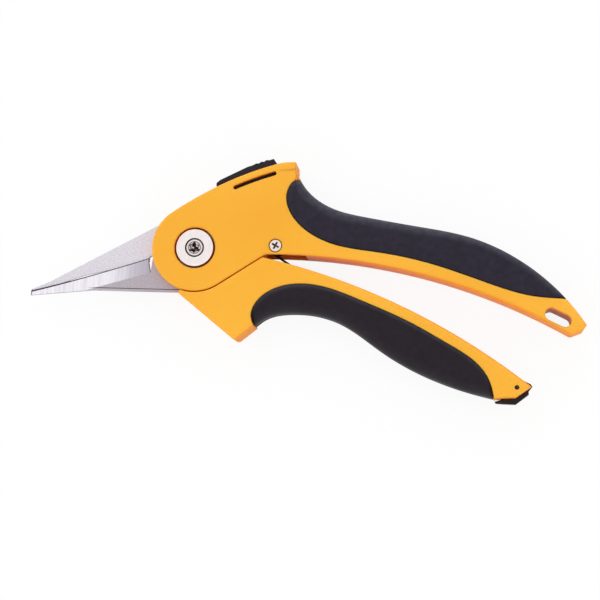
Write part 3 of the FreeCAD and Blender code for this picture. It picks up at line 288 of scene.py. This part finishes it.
def blade_steel(name, ground, flat, edge_z, mirror=1.0):
    """Ground and flat faces in two finishes, with a painted shadow line at the cutting edge."""
    material, tree, shader, place = finish(name, ground[0], Metallic=1.0)
    spot = place.outputs["Object"]
    x, y, z = (split(tree, spot)[axis] for axis in "XYZ")
    streaks = noise(tree, spot, 0.1, detail=3.0, stretch=(1.0, 90.0, 90.0))
    wide_streaks = noise(tree, spot, 0.7, detail=2.0, stretch=(1.0, 30.0, 30.0))
    both = maths(tree, "ADD", product(tree, streaks, 0.55), product(tree, wide_streaks, 0.45))
    ground_colour = ramp(tree, both, [(0.3, ground[0]), (0.7, ground[1])])
    towards_heel = between(tree, x, -34.0 * MM, -18.0 * MM)
    heel_tone = ramp(tree, towards_heel, [(0.0, "#FFFFFF"), (1.0, "#C9C4CC")])
    ground_colour = blend_colours(tree, 1.0, ground_colour, heel_tone, "MULTIPLY")
    cloud = noise(tree, spot, 0.5, detail=6.0)
    flat_colour = ramp(tree, cloud, [(0.3, flat[0]), (0.7, flat[1])])
    lean = split(tree, place.outputs["Normal"])["Z"]
    is_flat = between(tree, maths(tree, "ABSOLUTE", lean, 0.0), 0.968, 0.992)
    colour = blend_colours(tree, is_flat, ground_colour, flat_colour)
    # The edge of a long ground bevel rises a little at mid-blade, so the painted shadow line along it
    # follows an arc
    middle, half = (TIP_X + HEEL_X) / 2.0, (HEEL_X - TIP_X) / 2.0
    along = product(tree, maths(tree, "SUBTRACT", x, middle * MM), 1.0 / (half * MM))
    arc = product(tree, along, along, EDGE_ARC * MM)
    level = product(tree, maths(tree, "SUBTRACT", z, edge_z * MM), mirror)
    above = maths(tree, "ADD", level, arc)
    width = between(tree, x, TIP_X * MM, (TIP_X + 26.0) * MM, 0.15 * MM, 0.07 * MM)
    # Painted shadow: a thin dark line where the edge lies against the other blade, and the very tip dark
    # too
    painted_edge_shadow = between(tree, maths(tree, "SUBTRACT", above, width), 0.0, 0.04 * MM, 1.0, 0.0)
    painted_edge_shadow = product(tree, painted_edge_shadow, maths(tree, "SUBTRACT", 1.0, is_flat))
    painted_tip_shadow = between(tree, x, (TIP_X + 0.1) * MM, (TIP_X + 0.5) * MM, 1.0, 0.0)
    painted_edge_shadow = maths(tree, "MAXIMUM", painted_edge_shadow, painted_tip_shadow)
    dark = ramp(tree, painted_edge_shadow, [(0.0, "#FFFFFF"), (1.0, "#57515C")])
    colour = blend_colours(tree, 1.0, colour, dark, "MULTIPLY")
    tree.links.new(colour, shader.inputs["Base Color"])
    tree.links.new(between(tree, streaks, 0.3, 0.7, 0.48, 0.62), shader.inputs["Roughness"])
    relief(tree, shader, streaks, 0.01, 0.35)
    return material, tree, shader, (x, y, z), colour


def front_blade_steel():
    material, tree, shader, (x, y, z), colour = blade_steel(
        "ground_front_blade", ("#CFCBD3", "#F4F2F7"), ("#B2A8B1", "#CBC2C9"), FRONT_EDGE_Z)
    # The fine line beside the eased corner of the spine
    line_x, line_y, slope = SPINE_LINE
    sloped = maths(tree, "ADD", y, product(tree, maths(tree, "SUBTRACT", x, line_x * MM), slope))
    away = maths(tree, "ABSOLUTE", maths(tree, "SUBTRACT", sloped, line_y * MM), 0.0)
    line = between(tree, away, 0.08 * MM, 0.2 * MM, 1.0, 0.0)
    line = product(tree, line, between(tree, x, -41.0 * MM, -37.0 * MM))
    dark = ramp(tree, line, [(0.0, "#FFFFFF"), (1.0, "#6E6874")])
    tree.links.new(blend_colours(tree, 1.0, colour, dark, "MULTIPLY"), shader.inputs["Base Color"])
    return material


def rear_blade_steel():
    return blade_steel(
        "ground_rear_blade", ("#D8D4DC", "#EEEAF1"), ("#D4CFD7", "#EFEAF2"), REAR_EDGE_Z, mirror=-1.0)[0]


put_on(front_blade_steel(), "fixed_blade")
put_on(rear_blade_steel(), "moving_blade")


# %% [markdown]
# ## Turned steel
#
# The pivot disc, bolt, bush, washer and nut come off a lathe, so their faces carry rings about the
# axis. The rings are noise along the distance from the axis. The disc is nickel plated and almost
# white and the bolt is darker. The sockets of bolt and screw are painted shade, dark with painted
# glints, and the bolt head carries painted dark rings at its socket's rim and at its outer edge.

# %% Turned parts
def turned_steel(name, light, dark, axis=(0.0, 0.0), rough=(0.3, 0.45), floor_z=None,
                 socket=("#2A1E1C", "#E8DEDC"), shade_ring_stops=None):
    """Ringed metal about an upright axis; below floor_z a socket is painted in painted shade with painted
    glints.
    """
    material, tree, shader, place = finish(name, light, Metallic=1.0)
    spot = place.outputs["Object"]
    x, y, z = (split(tree, spot)[axis_name] for axis_name in "XYZ")
    across = maths(tree, "SUBTRACT", x, axis[0] * MM)
    up = maths(tree, "SUBTRACT", y, axis[1] * MM)
    radius = length(tree, across, up)
    line = add_node(tree, "ShaderNodeCombineXYZ", [(radius, "X")])
    rings = noise(tree, line.outputs["Vector"], 0.14, detail=2.0)
    cloud = noise(tree, spot, 1.8, detail=4.0)
    both = maths(tree, "ADD", product(tree, rings, 0.45), product(tree, cloud, 0.55))
    colour = ramp(tree, both, [(0.35, dark), (0.65, light)])
    if floor_z is not None:
        # Painted shade and painted glints: the socket, from its floor down 3 mm, is painted dark with
        # bright spots
        depth = between(tree, z, (floor_z - 0.25) * MM, floor_z * MM, 1.0, 0.0)
        front_end = between(tree, z, (floor_z - 3.2) * MM, (floor_z - 3.0) * MM)
        depth = product(tree, depth, front_end)
        glint = noise(tree, spot, 0.9, detail=1.0)
        painted_socket_shade_and_glints = ramp(tree, glint, [(0.5, socket[0]), (0.62, socket[1])])
        colour = blend_colours(tree, depth, colour, painted_socket_shade_and_glints)
    # Painted shade: dark rings painted by distance from the axis
    if shade_ring_stops is not None:
        band = between(tree, radius, 0.0, shade_ring_stops[-1][0] * MM)
        stops = [(stop / shade_ring_stops[-1][0], tone) for stop, tone in shade_ring_stops]
        colour = blend_colours(tree, 1.0, colour, ramp(tree, band, stops), "MULTIPLY")
    tree.links.new(colour, shader.inputs["Base Color"])
    tree.links.new(between(tree, rings, 0.3, 0.7, *rough), shader.inputs["Roughness"])
    relief(tree, shader, rings, 0.008, 0.4)
    return material


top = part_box("pivot_bolt")[1][2] / MM
screw_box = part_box("shell_screw")
screw_axis = [(low + high) / 2.0 / MM for low, high in zip(*screw_box)][:2]
pin_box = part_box("lock_pin")
pin_axis = [(low + high) / 2.0 / MM for low, high in zip(*pin_box)][:2]
put_on(turned_steel("nickel_plated_disc", "#FFF8F6", "#F1E7E6", rough=(0.42, 0.55)), "pivot_disc")
# Painted shade: dark rings on the bolt head at its socket's rim and at its outer edge, where it meets the
# disc
BOLT_SHADE_RINGS = [(0.0, "#FFFFFF"), (1.95, "#FFFFFF"), (2.05, "#8A7873"), (2.25, "#8A7873"), (2.4, "#FFFFFF"),
              (2.85, "#FFFFFF"), (3.0, "#5E5654"), (3.3, "#4A4240")]
put_on(turned_steel("pivot_bolt_steel", "#FFFAF8", "#D9D0CE", rough=(0.3, 0.42), floor_z=top - 0.1,
                    shade_ring_stops=BOLT_SHADE_RINGS), "pivot_bolt")
# Painted shade: the screw's cross recess is painted brown
put_on(turned_steel("zinc_plated_screw", "#FBF7F5", "#E6DFDD", axis=screw_axis, rough=(0.35, 0.5),
                    floor_z=screw_box[1][2] / MM - 0.12, socket=("#5A3A30", "#7A5A50")), "shell_screw")
put_on(turned_steel("oiled_bearing_steel", "#CFCBCC", "#A7A2A4", rough=(0.2, 0.34)),
       "pivot_bush", "bearing_washer")
put_on(turned_steel("zinc_plated_nut", "#D9D6D6", "#B6B2B3", rough=(0.28, 0.42)), "pivot_nut")
put_on(turned_steel("lock_pin_steel", "#D2CFD0", "#ABA7A9", axis=pin_axis, rough=(0.22, 0.34)), "lock_pin")


# %% [markdown]
# ## Blackened wire and black plastic
#
# The spring and the hook's pin are blackened steel: dark, oily and drawn, with paler steel where the
# black has rubbed off. The thumb slide and the end hook are matte black plastic with a fine spark
# texture from the mould.

# %% Black parts
def blackened_steel():
    material, tree, shader, place = finish("blackened_steel", "#1D1A1E", Metallic=0.7)
    spot = place.outputs["Object"]
    rub = noise(tree, spot, 0.9, detail=5.0)
    colour = ramp(tree, rub, [(0.45, "#171417"), (0.62, "#3A3538"), (0.8, "#6B6566")])
    tree.links.new(colour, shader.inputs["Base Color"])
    tree.links.new(between(tree, rub, 0.3, 0.8, 0.3, 0.5), shader.inputs["Roughness"])
    relief(tree, shader, noise(tree, spot, 0.15, detail=2.0), 0.006, 0.5)
    return material


def black_plastic(name, dark, light):
    material, tree, shader, place = finish(name, dark, Specular_IOR_Level=0.3)
    spot = place.outputs["Object"]
    mottle = noise(tree, spot, 1.4, detail=5.0)
    colour = ramp(tree, mottle, [(0.35, dark), (0.7, light)])
    tree.links.new(colour, shader.inputs["Base Color"])
    spark = noise(tree, spot, 0.16, detail=2.0)
    tree.links.new(between(tree, mottle, 0.3, 0.7, 0.38, 0.52), shader.inputs["Roughness"])
    relief(tree, shader, spark, 0.015, 0.6)
    return material


put_on(blackened_steel(), "opening_spring", "hook_pin")
put_on(black_plastic("slide_plastic", "#150C16", "#231825"), "lock_slide")
put_on(black_plastic("hook_plastic", "#140D14", "#221A22"), "end_hook")


# %% [markdown]
# ## Camera
#
# The catalogue camera looks almost straight down on the tool with a long lens, leaning a few degrees
# towards the lower right, so the walls that face the viewer's side show as thin bands.

# %% Camera
FOCAL_MM = 94.1
TARGET = Vector((38.48, -19.71, 14.0)) * MM
DISTANCE = 562.8 * MM
back = Vector((math.tan(math.radians(6.0)), -math.tan(math.radians(7.5)), 1.0)).normalized()
right = Vector((0, 1, 0)).cross(back).normalized()
up = back.cross(right)
camera_data = bpy.data.cameras.new("camera")
camera_data.lens = FOCAL_MM
camera_data.sensor_width = 36.0
camera_data.clip_start = 0.01
camera = bpy.data.objects.new("camera", camera_data)
bpy.context.scene.collection.objects.link(camera)
rotation = Matrix((right, up, back)).transposed().to_4x4()
camera.matrix_world = Matrix.Translation(TARGET + back * DISTANCE) @ rotation
bpy.context.scene.camera = camera

# %% [markdown]
# ## Floor
#
# The floor is matt and nearly white. To the camera and to shiny pieces it shows mostly its own even
# white, and a share of it stays an ordinary lit surface, so the tool keeps a faint shadow.

# %% Floor
bpy.ops.mesh.primitive_plane_add(size=4.0, location=(0, 0, -0.0005))
floor = bpy.context.object
floor.name = "floor"
floor_material, tree, shader, place = finish("pale_floor", "#FBFBFB", Roughness=0.9)
fibres = noise(tree, place.outputs["Object"], 3.0, detail=3.0)
tree.links.new(ramp(tree, fibres, [(0.3, "#F8F8F8"), (0.7, "#FDFDFD")]), shader.inputs["Base Color"])
path = add_node(tree, "ShaderNodeLightPath").outputs
seen = maths(tree, "MAXIMUM", maths(tree, "MAXIMUM", path["Is Camera Ray"], path["Is Glossy Ray"]),
             path["Is Transmission Ray"])
even_white = add_node(tree, "ShaderNodeEmission", Strength=1.0)
share = product(tree, seen, 0.9)
mix = add_node(tree, "ShaderNodeMixShader", [
    (share, "Fac"), (shader.outputs["BSDF"], 1), (even_white.outputs["Emission"], 2)])
tree.links.new(mix.outputs["Shader"], tree.nodes["Material Output"].inputs["Surface"])
floor.data.materials.append(floor_material)


# %% [markdown]
# ## Light
#
# A ring of soft light stands round the table and little comes from overhead, where the camera is.
# That keeps flat black rubber dark while its rounded edges catch the ring. The ring is brightest at the
# top left, wide and without a hard lamp in it, so the flat ground steel mirrors nothing that burns out.

# %% Light
ZENITH, RING, KEY = 0.62, 1.15, 0.3
world = bpy.data.worlds.new("world")
world.use_nodes = True
bpy.context.scene.world = world
tree = world.node_tree
sky = add_node(tree, "ShaderNodeTexCoord").outputs["Generated"]
ring = between(tree, split(tree, sky)["Z"], 0.6, 1.0, RING, ZENITH)
towards_key = add_node(tree, "ShaderNodeVectorMath", [(sky, 0)], operation="DOT_PRODUCT")
towards_key.inputs[1].default_value = Vector((-0.45, 0.75, 0.35)).normalized()
key = between(tree, towards_key.outputs["Value"], 0.2, 1.0, 0.0, KEY)
tree.links.new(maths(tree, "ADD", ring, key), tree.nodes["Background"].inputs["Strength"])
tree.nodes["Background"].inputs["Color"].default_value = (1.0, 1.0, 1.0, 1.0)
print("sky: zenith", ZENITH, "ring", RING, "key side", KEY)
bpy.context.scene.view_settings.view_transform = "Standard"
